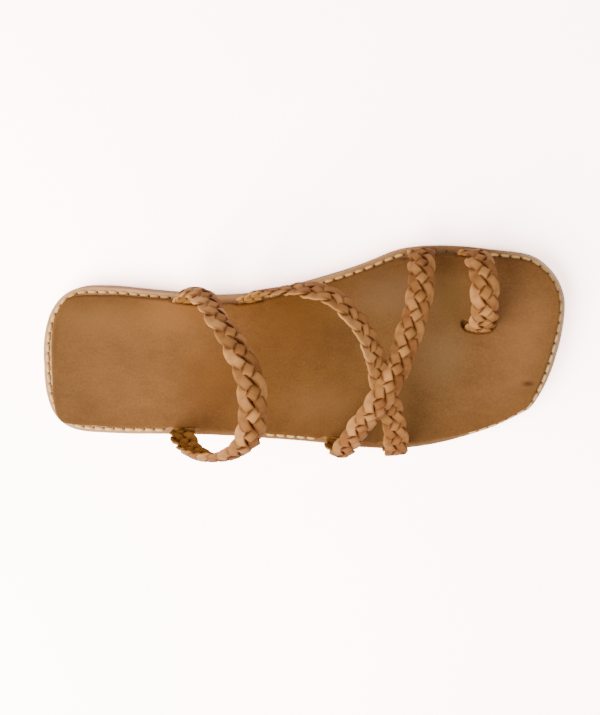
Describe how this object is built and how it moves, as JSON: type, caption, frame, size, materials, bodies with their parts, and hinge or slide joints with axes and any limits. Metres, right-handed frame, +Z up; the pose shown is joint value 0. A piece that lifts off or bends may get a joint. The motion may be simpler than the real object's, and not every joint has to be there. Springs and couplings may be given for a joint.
{
  "type": "slide sandal",
  "caption": "Flat leather slide sandal for the right foot, with a stacked leather sole, a soft footbed, braided instep and crossed forefoot straps and a braided toe loop.",
  "frame": {"origin": "on the floor, under the middle of the sole's box", "axes": "+X to the toe, +Y to the medial (big toe) side, +Z up"},
  "size_m": [0.256, 0.1021, 0.088],
  "materials": {
    "strap_leather": "smooth light tan leather, soft sheen",
    "footbed_leather": "brown oiled nubuck, matte and mottled",
    "midsole_leather": "cream leather with a raw matte edge",
    "outsole_leather": "pinkish buff leather with a raw streaked edge",
    "tread_leather": "tan leather tread, matte"
  },
  "bodies": {
    "root": {"heel_lift": "tread_leather", "half_sole": "tread_leather", "outsole": "outsole_leather", "midsole": "midsole_leather", "footbed": "footbed_leather", "back_strap": "strap_leather", "cross_straps": "strap_leather", "toe_loop": "strap_leather"}
  },
  "joints": []
}
